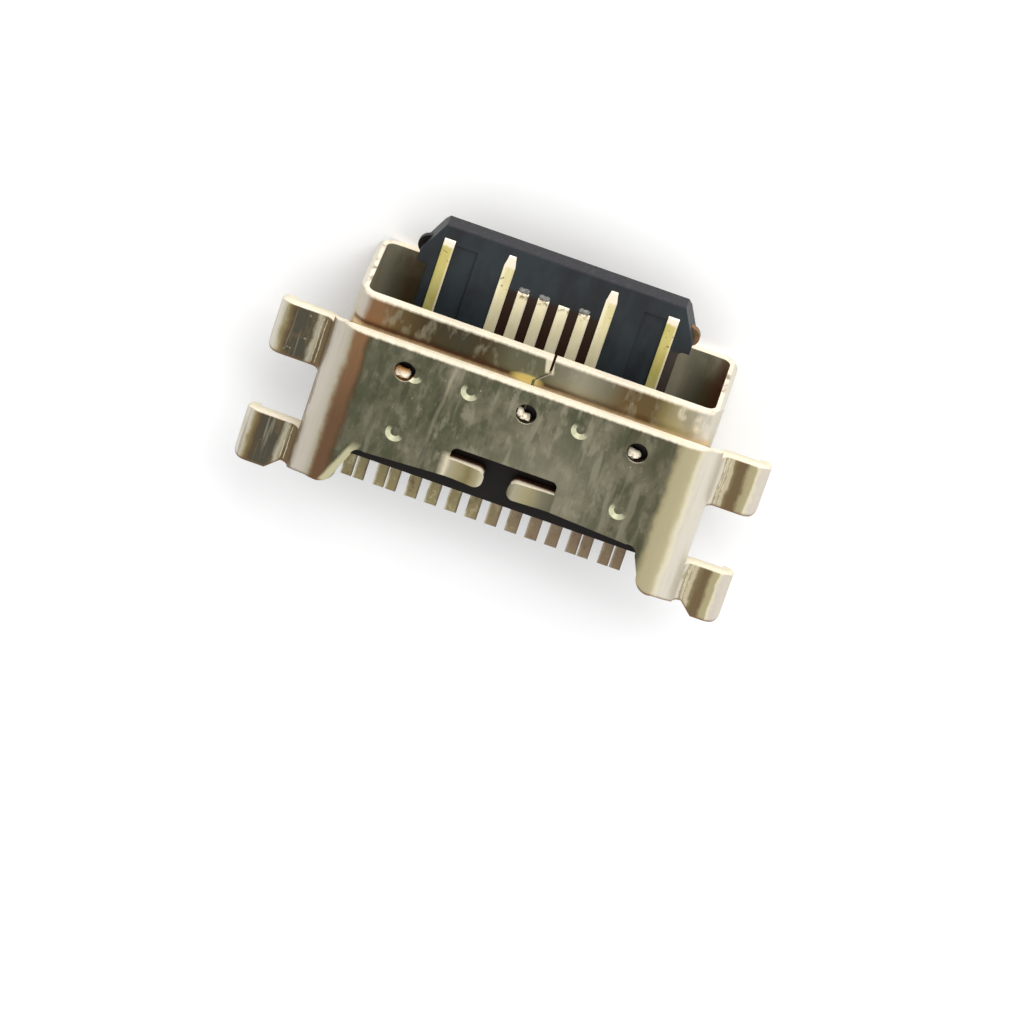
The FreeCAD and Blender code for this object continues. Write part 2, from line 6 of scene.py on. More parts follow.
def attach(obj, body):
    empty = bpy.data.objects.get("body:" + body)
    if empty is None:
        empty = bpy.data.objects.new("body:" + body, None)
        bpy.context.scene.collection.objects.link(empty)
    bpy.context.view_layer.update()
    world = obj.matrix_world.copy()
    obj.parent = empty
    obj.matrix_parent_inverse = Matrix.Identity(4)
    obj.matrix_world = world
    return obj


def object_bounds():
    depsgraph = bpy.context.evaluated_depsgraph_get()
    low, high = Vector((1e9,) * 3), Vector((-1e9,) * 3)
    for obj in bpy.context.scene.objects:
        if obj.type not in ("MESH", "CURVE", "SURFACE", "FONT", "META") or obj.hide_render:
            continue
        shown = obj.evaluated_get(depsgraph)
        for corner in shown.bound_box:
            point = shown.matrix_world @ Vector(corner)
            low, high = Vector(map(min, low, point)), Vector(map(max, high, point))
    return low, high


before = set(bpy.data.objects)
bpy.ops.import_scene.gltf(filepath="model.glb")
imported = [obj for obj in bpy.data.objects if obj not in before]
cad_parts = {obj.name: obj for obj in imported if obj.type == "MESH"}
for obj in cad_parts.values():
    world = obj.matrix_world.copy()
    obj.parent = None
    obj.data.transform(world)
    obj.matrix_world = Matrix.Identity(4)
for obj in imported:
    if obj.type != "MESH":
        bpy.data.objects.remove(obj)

# One millimetre in metres; the numbers below are millimetres unless they say otherwise
MM = 0.001
CAD_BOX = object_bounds()
SCENE = bpy.context.scene


def linear(text):
    """A colour as a hex string turned into linear values."""
    values = [int(text[index:index + 2], 16) / 255 for index in (0, 2, 4)]
    return tuple(value / 12.92 if value <= 0.04045 else ((value + 0.055) / 1.055) ** 2.4
                 for value in values)


# The tones of the tarnished plate and of the light and shade painted on it, the gold, the weld
# metal and the black plastic
TONES = {
    "white": "f6e8d2",
    "cream": "eadfc2",
    "bone": "d6ceb4",
    "pearl": "c6c0b2",
    "straw": "cdc8a2",
    "reed": "c3c2a2",
    "fog": "bdb5a7",
    "wheat": "beb490",
    "fawn": "c4ad88",
    "linen": "b5ad94",
    "sand": "aca27c",
    "ash": "a09b85",
    "khaki": "8c8058",
    "stone": "827d68",
    "slate": "6d6b55",
    "moss": "5b5d48",
    "peat": "58543f",
    "loam": "4e4f3e",
    "honey": "e2d38c",
    "copper": "b88648",
    "ochre": "86622f",
    "bronze": "8f6c4d",
    "red_brown_shade": "7c5238",
    "clay": "5d3f2f",
    "cocoa": "5a4534",
    "umber": "6f5c3e",
    "bark": "52452f",
    "dusk": "4a4638",
    "hole_shade_dark": "4a4338",
    "ink": "1d1a17",
    "gold": "f8efcc",
    "gold_worn": "ebe0b6",
    "gold_outer": "bdb05c",
    "gold_outer_worn": "c9be76",
    "gold_yellow": "cbbd72",
    "tail_red": "7d6353",
    "plastic": "222426",
    "plastic_blue": "2a3033",
    "plastic_glare": "2a3237",
    "plastic_brown": "2b1b12",
    "plastic_warm": "3a322d",
    "plastic_tip": "262629",
    "plastic_tip_pale": "3c3b3e",
    "plastic_rear": "0f0a07",
    "flake": "5f5e60",
    "flake_pale": "8f8c84",
}
TONE = {name: linear(text) for name, text in TONES.items()}

# The shell and the cover lie a little to the side of the tongue's middle
SHELL_MIDDLE = -0.08

# Each pair is where a mask is 0 and where it is 1: first along Z, then for the normal
COVER_FACE = (1.70, 1.76)
SHELL_TOP = (1.3, 1.4)
LEG_LEVEL = (1.2, 1.0)
FACES_UP = (0.3, 0.5)
FACES_ASIDE = (0.5, 0.3)
FACES_MOUTH = (-0.45, -0.7)
FACES_REAR = (0.5, 0.8)

# Where along X the cover has its holes and dishes and where the left legs are flat, each
# with the width of its soft ends, and where along X the left hole begins
STAMPED = (-3.5, 3.4, 0.1)
LEG_FLAT = (5.12, 5.66, 0.08)
LEFT_HOLE = (2.0, 2.2)

# The direction in X and Y that the dishes' wall with the painted highlight faces
DISH_HIGHLIGHT_WALL = (-0.55, -0.83)

CONTACT_PITCH = 0.5

# How far a material softens the corners of its piece
CORNER = 0.03


# Node material helpers
class Nodes:
    """A new material; its x, y and z sockets give the place on the object in millimetres."""

    def __init__(self, name):
        self.material = bpy.data.materials.new(name)
        self.material.use_nodes = True
        self.tree = self.material.node_tree
        self.tree.nodes.clear()
        self.output = self.tree.nodes.new("ShaderNodeOutputMaterial")
        coordinates = self.tree.nodes.new("ShaderNodeTexCoord").outputs["Object"]
        to_mm = {"Vector": coordinates, "Scale": (1 / MM, 1 / MM, 1 / MM)}
        self.place = self.add("ShaderNodeMapping", to_mm).outputs[0]
        self.x, self.y, self.z = self.add("ShaderNodeSeparateXYZ", {0: self.place}).outputs
        normal = self.add("ShaderNodeNewGeometry").outputs["True Normal"]
        self.nx, self.ny, self.nz = self.add("ShaderNodeSeparateXYZ", {0: normal}).outputs

    def add(self, kind, inputs=None, **settings):
        """A new node, with each input linked to a socket or set to a plain value."""
        node = self.tree.nodes.new(kind)
        for key, value in settings.items():
            setattr(node, key, value)
        for key, value in (inputs or {}).items():
            if isinstance(value, bpy.types.NodeSocket):
                self.tree.links.new(value, node.inputs[key])
            else:
                node.inputs[key].default_value = value
        return node

    def maths(self, operation, *values):
        return self.add("ShaderNodeMath", dict(enumerate(values)), operation=operation).outputs[0]

    def edge_turn(self, radius, axis="Y"):
        """The normal's part along an axis, as it would be with the edges rounded."""
        rounded = self.add("ShaderNodeBevel", {"Radius": radius * MM}, samples=6).outputs[0]
        return self.add("ShaderNodeSeparateXYZ", {0: rounded}).outputs[axis]

    def off_middle(self, x):
        """How far x lies from the middle of the shell and the cover, to either side."""
        return self.maths("ABSOLUTE", self.maths("ADD", x, -SHELL_MIDDLE))

    def noise(self, scale, detail=3.0, rough=0.55, stretch=(1, 1, 1), shift=(0, 0, 0)):
        """Noise with about scale features to the millimetre, drawn out where stretch is small."""
        vector = self.add("ShaderNodeMapping", {
            "Vector": self.place, "Scale": stretch, "Location": shift})
        node = self.add("ShaderNodeTexNoise", {
            "Vector": vector.outputs[0], "Scale": scale, "Detail": detail, "Roughness": rough})
        return node.outputs["Fac"]

    def ramp(self, factor, stops):
        """Tones laid out along factor, from 0 to 1, as (place, tone)."""
        node = self.add("ShaderNodeValToRGB", {"Fac": factor})
        ramp = node.color_ramp
        while len(ramp.elements) < len(stops):
            ramp.elements.new(0.5)
        for element, (place, tone) in zip(ramp.elements, stops):
            element.position = place
            element.color = (*TONE[tone], 1)
        return node.outputs["Color"]

    def step(self, value, low, high):
        """0 below low and 1 above high, or the other way round where low is the larger."""
        node = self.add("ShaderNodeMapRange", {"Value": value, "From Min": low, "From Max": high})
        return node.outputs[0]

    def bands(self, value, low, high, stops):
        """Tones laid out along value, with each stop's place given in value's own unit."""
        factor = self.step(value, low, high)
        return self.ramp(factor, [((place - low) / (high - low), tone) for place, tone in stops])

    def window(self, value, low, high, soft):
        """1 between low and high, with edges as wide as soft."""
        rise = self.step(value, low - soft / 2, low + soft / 2)
        return self.maths("MINIMUM", rise, self.step(value, high + soft / 2, high - soft / 2))

    def spot(self, x, y, reach_x, reach_y):
        """A soft oval about the place (x, y)."""
        squares = []
        for value, middle, reach in ((self.x, x, reach_x), (self.y, y, reach_y)):
            offset = self.maths("MULTIPLY_ADD", value, 1 / reach, -middle / reach)
            squares.append(self.maths("MULTIPLY", offset, offset))
        return self.step(self.maths("ADD", *squares), 1.0, 0.25)

    def both(self, *masks):
        """Masks multiplied together; a plain number among them weakens the result."""
        result = masks[0]
        for mask in masks[1:]:
            result = self.maths("MULTIPLY", result, mask)
        return result

    def either(self, *masks):
        """The strongest of the masks."""
        result = masks[0]
        for mask in masks[1:]:
            result = self.maths("MAXIMUM", result, mask)
        return result

    def invert(self, mask):
        return self.maths("SUBTRACT", 1.0, mask)

    def wobble(self, value, noise, reach):
        """The value moved to and fro by the noise, by at most about half of reach."""
        return self.maths("ADD", value, self.maths("MULTIPLY_ADD", noise, reach, -reach / 2))

    def mix(self, factor, first, second):
        """The first colour where factor is 0 and the second where it is 1."""
        node = self.add("ShaderNodeMix", data_type="RGBA")
        for key, value in ((0, factor), (6, first), (7, second)):
            if isinstance(value, str):
                value = TONE[value]
            if isinstance(value, bpy.types.NodeSocket):
                self.tree.links.new(value, node.inputs[key])
            else:
                node.inputs[key].default_value = value if key == 0 else (*value, 1)
        return node.outputs[2]

    def finish(self, colour, noise, smoothest, uneven, metallic=0.0,
               depth=0.006, strength=0.4, gloss=0.5):
        """Ends the material. noise is a pair: one for the roughness, from smoothest up by
        uneven, and one for the bump, which is depth high. The corners are softened."""
        rough = self.maths("MULTIPLY_ADD", noise[0], uneven, smoothest)
        bump = self.add("ShaderNodeBump", {
            "Height": noise[1], "Distance": depth * MM, "Strength": strength})
        soft = self.add("ShaderNodeBevel", {
            "Radius": CORNER * MM, "Normal": bump.outputs[0]}, samples=4)
        shader = self.add("ShaderNodeBsdfPrincipled", {
            "Base Color": colour, "Metallic": metallic, "Roughness": rough,
            "Normal": soft.outputs[0], "Specular IOR Level": gloss})
        self.tree.links.new(shader.outputs[0], self.output.inputs["Surface"])
        return self.material


def dress(prefix, material):
    """Gives a material to every CAD node whose name starts with prefix."""
    for name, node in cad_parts.items():
        if name.startswith(prefix):
            node.data.materials.clear()
            node.data.materials.append(material)


def tarnish_and_reflection(n, colour, face):
    """Mottled plate on the face: dark cloudy tones, partly a painted reflection, with streaks
    along Y, pale blotches and specks.
    """
    cloud = n.noise(1.1, 4, 0.65, (1.0, 0.6, 1.0))
    patch = n.noise(3.4, 3, 0.6, (1.0, 0.5, 1.0), (3.0, 1.0, 0.0))
    streak = n.noise(4.0, 2, 0.5, (1.0, 0.14, 1.0), (1.0, 4.0, 0.0))
    speck = n.noise(6.0, 2, 0.5, (1.0, 0.7, 1.0), (0.0, 5.0, 0.0))
    wear_and_sheen = n.both(n.step(n.x, -2.8, -1.6), n.step(n.x, 0.6, -0.8), n.step(n.y, 1.2, 2.6))
    slanted = n.wobble(n.maths("MULTIPLY_ADD", n.y, -0.07, n.x), patch, 0.10)
    scratch = n.both(n.window(slanted, 1.53, 1.60, 0.06), n.window(n.y, 0.85, 2.6, 0.6))
    smear = n.both(n.window(n.wobble(n.x, patch, 0.2), 1.66, 1.86, 0.10),
                   n.window(n.y, 1.5, 2.5, 0.4))

    mottled = n.ramp(cloud, [(0.36, "moss"), (0.46, "slate"), (0.58, "stone"), (0.70, "slate")])
    for mask, amount, tone in (
            (n.step(patch, 0.54, 0.66), 0.6, "ash"),
            (n.step(patch, 0.46, 0.36), 0.85, "moss"),
            (n.step(streak, 0.58, 0.68), 0.6, "ash"),
            (n.step(streak, 0.40, 0.32), 0.5, "dusk"),
            (n.step(speck, 0.72, 0.78), 1.0, "linen"),
            (n.step(n.x, 1.2, 3.4), 0.45, "loam"),
            (wear_and_sheen, 0.45, "ash"),
            (n.step(n.x, -2.2, -3.4), 0.35, "peat"),
            (scratch, 0.8, "linen"),
            (smear, 0.6, "dusk")):
        mottled = n.mix(n.both(mask, amount), mottled, tone)
    return n.mix(face, colour, mottled)


def bracket_plate():
    """The cover's plate: dull on its flats, with painted reflections in light and brown bands
    along its bends.
    """
    n = Nodes("bracket_plate")
    wave = n.noise(1.6, 4, 0.65, (1.0, 0.7, 1.0), (7.0, 0.0, 0.0))
    fine = n.noise(7.0, 3, 0.6, (1.0, 0.5, 1.0))
    lines = n.noise(9.0, 2, 0.6, (1.0, 0.06, 1.0))
    across = n.wobble(n.wobble(n.x, wave, 0.24), fine, 0.08)
    outward = n.off_middle(n.x)
    # Painted reflections: light and brown bands along the bends, the side walls and the right legs
    colour = n.bands(across, -6.1, 6.1, [
        (-5.90, "fog"), (-5.83, "pearl"), (-5.78, "cream"), (-5.72, "sand"), (-5.58, "sand"),
        (-5.50, "umber"), (-5.30, "umber"), (-5.22, "khaki"), (-5.17, "cream"), (-5.12, "khaki"),
        (-5.07, "cream"), (-5.01, "khaki"), (-4.96, "pearl"), (-4.60, "pearl"), (-4.52, "pearl"),
        (-4.42, "bone"), (-4.32, "wheat"), (-4.00, "wheat"), (-3.88, "sand"), (-3.76, "stone"),
        (3.60, "moss"), (3.72, "bark"), (3.84, "bronze"), (4.08, "bronze"), (4.20, "linen"),
        (4.29, "fog"), (4.62, "fog"), (4.69, "umber"), (4.91, "umber"), (4.98, "linen"),
        (5.06, "linen"), (5.13, "dusk"),
    ])
    # Painted reflections in bands at the left legs' outer ends
    left_end_reflection = n.bands(across, 5.5, 6.1, [
        (5.52, "dusk"), (5.64, "bark"), (5.72, "umber"), (5.79, "khaki"), (5.86, "linen"),
        (5.93, "pearl"),
    ])
    colour = n.mix(n.step(across, 5.5, 5.54), colour, left_end_reflection)
    # A painted brown reflection along the left bend
    left_bend_reflection = n.both(n.window(across, 3.50, 4.16, 0.16), n.step(n.y, 1.2, 3.2),
                       n.step(n.z, 0.9, 1.2))
    colour = n.mix(n.both(left_bend_reflection, 0.6), colour, "cocoa")

    # Thin darker and lighter lines run along the bends and across the left legs
    lined = n.either(n.both(n.step(outward, 3.9, 4.0), 0.18), n.step(n.x, 4.76, 4.82))
    colour = n.mix(n.both(lined, n.step(lines, 0.44, 0.34), 0.45), colour, "umber")
    colour = n.mix(n.both(lined, n.step(lines, 0.60, 0.72), 0.22), colour, "bone")

    # The flat face between the bends, tarnished and darkened as a painted reflection, and the
    # stained flats of the left legs
    flat = n.both(n.step(n.z, *COVER_FACE), n.step(n.nz, *FACES_UP))
    colour = tarnish_and_reflection(n, colour, n.both(flat, n.window(across, -3.84, 3.70, 0.16)))
    leg = n.both(n.step(n.z, *LEG_LEVEL), n.window(n.x, *LEG_FLAT))
    colour = n.mix(n.both(leg, n.step(wave, 0.50, 0.62), 0.6), colour, "umber")
    dots = n.noise(4.5, 2, 0.5, shift=(9.0, 0.0, 0.0))
    colour = n.mix(n.both(leg, n.step(dots, 0.68, 0.74)), colour, "ash")

    # The tabs in the slot: painted highlights where they bend at the root and at their tips
    tab = n.both(flat, n.window(n.x, -1.50, 1.33, 0.06), n.window(n.y, 3.12, 3.80, 0.16))
    colour = n.mix(tab, colour, n.bands(across, -1.6, 1.5, [
        (-1.5, "slate"), (-1.2, "stone"), (-0.85, "sand"), (-0.55, "linen"), (-0.42, "stone"),
        (0.25, "bone"), (0.40, "sand"), (0.60, "khaki"), (0.90, "sand"), (1.06, "linen"),
        (1.16, "cream"), (1.26, "linen"), (1.36, "stone"),
    ]))

    # The inner edge of the left skirt is rolled over and catches the light
    slanted = n.wobble(n.maths("MULTIPLY_ADD", n.y, -0.42, n.x), fine, 0.05)
    lip = n.both(n.window(slanted, 1.64, 1.84, 0.07), n.step(n.y, 3.62, 3.90),
                 n.step(n.z, 1.4, 1.5))
    colour = n.mix(lip, colour, "straw")

    # Weld dishes: a painted highlight on the wall that faces the mouth
    wall = n.maths("MULTIPLY_ADD", n.ny, DISH_HIGHLIGHT_WALL[1], n.maths("MULTIPLY", n.nx, DISH_HIGHLIGHT_WALL[0]))
    dish_highlight = n.both(n.step(wall, -0.12, 0.12), n.window(n.nz, 0.80, 0.975, 0.02),
                  n.step(n.z, 1.74, 1.77), n.window(n.x, *STAMPED))
    colour = n.mix(dish_highlight, colour, "reed")

    # The walls of the round holes carry painted shade: ochre in the left one, dark in the others
    holes = n.both(n.step(n.nz, *FACES_ASIDE), n.window(n.y, 1.16, 1.72, 0.02),
                   n.step(n.z, 1.50, 1.56), n.window(n.x, *STAMPED))
    colour = n.mix(holes, colour, n.mix(n.step(n.x, *LEFT_HOLE), "hole_shade_dark", "ochre"))

    # Painted highlights on the edges and faces towards the mouth, but not in the holes nor low in
    # the slot
    faces_mouth = n.step(n.ny, *FACES_MOUTH)
    slot = n.both(n.window(n.y, 3.0, 3.5, 0.05), n.window(n.x, -1.6, 1.45, 0.05))
    # Painted shade in red-brown on the slot's faces towards the mouth
    colour = n.mix(n.both(slot, faces_mouth), colour, "red_brown_shade")
    front = n.either(n.step(n.edge_turn(0.07), -0.46, -0.62), faces_mouth)
    front = n.both(front, n.invert(holes), n.invert(n.both(slot, n.step(n.z, 1.80, 1.68))))
    front_strip = n.both(n.step(n.wobble(n.y, fine, 0.06), 0.89, 0.83), n.step(n.z, 1.5, 1.7))
    front = n.either(front, front_strip)
    pale = n.mix(n.step(fine, 0.4, 0.7), "white", "cream")
    below = n.both(n.step(n.z, 0.70, 0.55), n.step(n.nz, *FACES_ASIDE))
    colour = n.mix(front, colour, n.mix(below, pale, "bone"))

    # Painted shade in brown on the edges towards the rear
    rear_bend = n.both(n.step(n.edge_turn(0.12), 0.12, 0.36), n.step(outward, 3.85, 3.95))
    rear = n.either(rear_bend, n.step(n.ny, *FACES_REAR))
    colour = n.mix(rear, colour, n.mix(n.step(fine, 0.45, 0.6), "red_brown_shade", "umber"))

    dull = n.either(n.both(front, 0.8), n.both(n.step(outward, 4.4, 4.7), 0.4))
    return n.finish(colour, (wave, fine), 0.32, 0.25, n.maths("SUBTRACT", 0.95, dull))


def shell_plate():
    """The inner shell: brown tarnished tones with pale painted reflections on its outside, greyer
    painted reflections and shade inside, and a painted highlight on its rim.
    """
    n = Nodes("shell_plate")
    wave = n.noise(1.8, 3, 0.6, (1.0, 0.35, 1.0), (2.0, 0.0, 0.0))
    fine = n.noise(8.0, 3, 0.6, (1.0, 0.4, 1.0))
    across = n.wobble(n.x, wave, 0.30)
    top = n.step(n.z, *SHELL_TOP)
    # Across the outside: tarnished tones, with pale painted reflections along the bends at both
    # sides
    outside = n.bands(across, -4.6, 4.6, [
        (-4.50, "pearl"), (-4.05, "pearl"), (-3.95, "linen"), (-3.55, "sand"), (-3.25, "khaki"),
        (-3.00, "umber"), (-2.30, "umber"), (-1.80, "stone"), (-1.20, "ash"), (-0.60, "stone"),
        (-0.40, "slate"), (0.50, "slate"), (1.10, "bark"), (1.70, "dusk"), (2.70, "bark"),
        (3.30, "umber"), (3.70, "bronze"), (3.98, "bronze"), (4.12, "fog"), (4.50, "fog"),
    ])
    streak = n.noise(2.6, 3, 0.6, (1.0, 0.45, 1.0))
    outside = n.mix(n.both(n.step(streak, 0.52, 0.64), 0.55, top), outside, "ash")
    speck = n.noise(5.0, 2, 0.5, shift=(4.0, 2.0, 0.0))
    outside = n.mix(n.step(speck, 0.74, 0.78), outside, "linen")

    # Towards the cover's edge a red-brown painted contact shadow, then a pale painted reflection
    # of the cover's cut face, and painted dark shade under the cover
    inward = n.wobble(n.y, fine, 0.05)
    upper = n.step(n.z, 1.2, 1.3)
    cover_edge_shadow = n.both(n.step(inward, 0.66, 0.73), upper, n.step(n.x, -3.0, -0.2), 0.85)
    outside = n.mix(cover_edge_shadow, outside, "clay")
    cut_face_reflection = n.both(n.step(inward, 0.75, 0.86), upper)
    outside = n.mix(cut_face_reflection, outside, "fawn")
    under_cover_shade = n.both(n.step(n.y, 0.95, 1.00), n.step(n.z, 1.4, 1.45),
                    n.window(n.x, -3.9, 3.7, 0.2))
    outside = n.mix(under_cover_shade, outside, "ink")

    # Painted highlights: the pale edge beside the seam, a golden glint behind it and two pale
    # spots by the rim
    slanted = n.maths("MULTIPLY_ADD", n.y, 0.20, n.x)
    seam_edge_highlight = n.both(n.window(slanted, -0.46, -0.25, 0.04), n.step(n.y, 0.46, 0.38), top)
    outside = n.mix(seam_edge_highlight, outside, "cream")
    outside = n.mix(n.both(n.spot(0.02, 0.74, 0.45, 0.14), top), outside, "honey")
    for place in ((-3.68, 0.24, 0.15, 0.22), (-4.10, 0.38, 0.16, 0.28)):
        rim_highlight_spot = n.both(n.spot(*place), n.step(n.z, 1.1, 1.2), n.step(fine, 0.35, 0.55), 0.85)
        outside = n.mix(rim_highlight_spot, outside, "cream")

    # Inside: whatever lies within the sheet's half height and half width, painted in bands of
    # reflection and shade and lighter towards the mouth
    inner = n.both(n.window(n.z, -1.32, 1.32, 0.02), n.window(n.x, -4.36, 4.20, 0.02))
    inside = n.bands(across, -4.4, 4.4, [
        (-4.20, "red_brown_shade"), (-4.08, "umber"), (-3.80, "slate"), (-3.55, "stone"), (-3.30, "linen"),
        (-3.05, "linen"), (3.00, "slate"), (3.40, "umber"), (3.80, "stone"), (4.00, "ash"),
        (4.16, "linen"),
    ])
    inside = n.mix(n.both(n.step(n.y, 0.75, 0.15), n.step(wave, 0.40, 0.62)), inside, "ash")
    colour = n.mix(inner, outside, inside)

    # A painted highlight on the rim and the strip behind it, brown in places at the mouth's ends
    # and pale grey at its outer sides
    strip = n.both(n.step(inward, 0.11, 0.03), top)
    rim = n.either(n.step(n.ny, *FACES_MOUTH), strip)
    wear_and_sheen = n.mix(n.step(fine, 0.45, 0.75), "white", "cream")
    ends = n.step(n.off_middle(n.x), 4.16, 4.26)
    wear_and_sheen = n.mix(n.both(ends, n.step(n.noise(3.0, 2, 0.5), 0.50, 0.66), 0.8), wear_and_sheen, "umber")
    wear_and_sheen = n.mix(n.step(n.off_middle(n.wobble(n.x, fine, 0.05)), 4.33, 4.38), wear_and_sheen, "pearl")
    colour = n.mix(rim, colour, wear_and_sheen)

    dull = n.either(n.both(rim, 0.8), n.both(inner, 0.6), n.both(cut_face_reflection, 0.6))
    return n.finish(colour, (fine, fine), 0.32, 0.25, n.invert(dull))


def black_plastic():
    """Moulded black: bluish on the tongue, brown between the short contacts, greyer in front, and
    painted near black as shade at the rear.
    """
    n = Nodes("moulded_black")
    grain = n.noise(9.0, 3, 0.6)
    cloud = n.noise(1.4, 3, 0.6, (1.0, 0.4, 1.0))
    glare = n.noise(2.2, 2, 0.5, (1.0, 0.22, 1.0), (5.0, 3.0, 0.0))
    tongue_top = n.step(n.z, 0.2, 0.3)
    colour = n.mix(n.step(cloud, 0.4, 0.62), "plastic", "plastic_blue")
    colour = n.mix(n.step(glare, 0.66, 0.74), colour, "plastic_glare")
    between = n.both(n.window(n.x, -1.25, 1.25, 0.06), n.window(n.y, -0.72, 2.0, 0.10), tongue_top)
    colour = n.mix(between, colour, "plastic_brown")
    beside = n.both(n.window(n.x, -3.15, -2.86, 0.04), n.window(n.y, -0.6, 2.0, 0.10), tongue_top)
    colour = n.mix(beside, colour, "plastic_warm")
    tip = n.both(n.step(n.ny, -0.3, -0.6), n.step(n.y, -1.4, -1.5))
    speckled = n.mix(n.step(grain, 0.5, 0.75), "plastic_tip", "plastic_tip_pale")
    colour = n.mix(tip, colour, speckled)
    # Painted shade: the insulator seen through the slot under the cover is near black
    colour = n.mix(n.step(n.y, 2.6, 2.8), colour, "plastic_rear")
    return n.finish(colour, (grain, grain), 0.36, 0.22, depth=0.008, strength=0.3, gloss=0.22)


def contact_plate(name, face, wear_and_sheen):
    """Plated contacts: a painted highlight along one edge, pale tips and dull brown tails."""
    n = Nodes(name)
    cloud = n.noise(3.0, 3, 0.6, (1.0, 0.4, 1.0))
    fine = n.noise(12.0, 2, 0.5)
    colour = n.mix(n.step(cloud, 0.35, 0.65), face, wear_and_sheen)

    # Across each contact, from its middle line; the four in the middle are the short ones
    within_pitch = n.maths("FLOORED_MODULO", n.x, CONTACT_PITCH)
    offset = n.maths("ADD", within_pitch, -CONTACT_PITCH / 2)
    long = n.step(n.maths("ABSOLUTE", n.x), 1.0, 1.05)
    short = n.invert(long)
    # A painted highlight along the -X edge of each contact
    bright = n.both(n.step(offset, -0.085, -0.105), n.step(n.y, 2.0, 1.8))
    colour = n.mix(bright, colour, "cream")
    yellow = n.both(long, n.step(n.wobble(n.y, cloud, 0.4), 0.2, -0.9),
                    n.step(offset, 0.12, 0.02), 0.55)
    colour = n.mix(yellow, colour, "gold_yellow")

    # Tips, stains and specks
    forward = n.wobble(n.y, fine, 0.1)
    long_tip = n.both(long, n.step(forward, -1.22, -1.30))
    short_tip = n.both(short, n.step(forward, -0.62, -0.72), 0.6)
    colour = n.mix(n.either(long_tip, short_tip), colour, "white")
    blot = n.noise(7.0, 2, 0.5, shift=(6.0, 0.0, 0.0))
    stain = n.both(n.step(blot, 0.46, 0.58), short, n.step(n.y, -0.58, -0.66))
    colour = n.mix(stain, colour, "khaki")
    specks = n.both(n.step(fine, 0.64, 0.7), n.window(n.y, -1.15, -0.6, 0.2))
    colour = n.mix(specks, colour, "umber")

    # Tails: brown, redder towards -X, with a painted highlight on the +X edge and painted shade on
    # the -X edge
    tail = n.bands(n.wobble(cloud, fine, 0.3), 0.2, 0.8, [
        (0.30, "umber"), (0.42, "khaki"), (0.54, "khaki"), (0.64, "sand"), (0.74, "linen")])
    turn = n.edge_turn(0.10, "X")
    tail = n.mix(n.both(n.step(turn, 0.25, 0.4), n.step(cloud, 0.40, 0.50)), tail, "cream")
    tail = n.mix(n.step(turn, -0.25, -0.4), tail, "bark")
    tail = n.mix(n.both(n.step(n.x, 0.6, -1.0), 0.6), tail, "tail_red")
    colour = n.mix(n.step(n.y, 3.0, 3.4), colour, tail)
    return n.finish(colour, (cloud, fine), 0.28, 0.2, 0.3, depth=0.004)


def plate_steel():
    """The mid plate: only its two ears show, the one towards -X brown and the other painted black
    as shade.
    """
    n = Nodes("plate_steel")
    fine = n.noise(9.0, 3, 0.6)
    brown = n.mix(n.step(fine, 0.4, 0.65), "bronze", "umber")
    # The ear towards +X is painted black as shade
    colour = n.mix(n.step(n.x, 0.0, 0.4), brown, "ink")
    return n.finish(colour, (fine, fine), 0.3, 0.2, 0.8)


def ridge_plate():
    """The same plate on the leg ridges, painted pale as a highlight."""
    n = Nodes("ridge_plate")
    fine = n.noise(8.0, 3, 0.6)
    colour = n.mix(n.step(fine, 0.4, 0.62), "cream", "linen")
    return n.finish(colour, (fine, fine), 0.25, 0.2, 0.6)


def weld_metal():
    """Bright weld metal, with a copper tint on the left lump's side towards the mouth."""
    n = Nodes("weld_metal")
    fine = n.noise(10.0, 3, 0.6)
    colour = n.mix(n.step(fine, 0.42, 0.6), "white", "bone")
    tinted = n.both(n.step(n.wobble(n.y, fine, 0.08), 1.54, 1.46), n.step(n.x, *LEFT_HOLE))
    colour = n.mix(tinted, colour, "copper")
    return n.finish(colour, (fine, fine), 0.50, 0.2, 0.1, depth=0.02)


def chip_plastic():
    """Torn plastic: grey and dull."""
    n = Nodes("chip_plastic")
    grain = n.noise(14.0, 3, 0.6)
    colour = n.mix(n.step(grain, 0.4, 0.65), "flake", "flake_pale")
    return n.finish(colour, (grain, grain), 0.5, 0.2, depth=0.01)


PLASTIC = black_plastic()
dress("outer_bracket", bracket_plate())
dress("inner_shell", shell_plate())
dress("insulator_body", PLASTIC)
dress("upper_contact_insert", PLASTIC)
dress("lower_contact_insert", PLASTIC)
dress("contact_", contact_plate("contact_gold", "gold", "gold_worn"))

# The outermost contacts are more yellow: a1 and a12 above, b1 and b12 below
OUTER = contact_plate("contact_gold_outer", "gold_outer", "gold_outer_worn")
dress("contact_a1", OUTER)
dress("contact_b1", OUTER)
dress("mid_plate", plate_steel())


# Detail pieces in mesh code
def add_piece(name, points, faces, material):
    """A mesh piece from points in mm; it rides on the part's only body."""
    mesh = bpy.data.meshes.new(name)
    mesh.from_pydata([tuple(value * MM for value in point) for point in points], [], faces)
    mesh.validate()
    for polygon in mesh.polygons:
        polygon.use_smooth = True
    piece = bpy.data.objects.new(name, mesh)
    SCENE.collection.objects.link(piece)
    mesh.materials.append(material)
    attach(piece, "root")


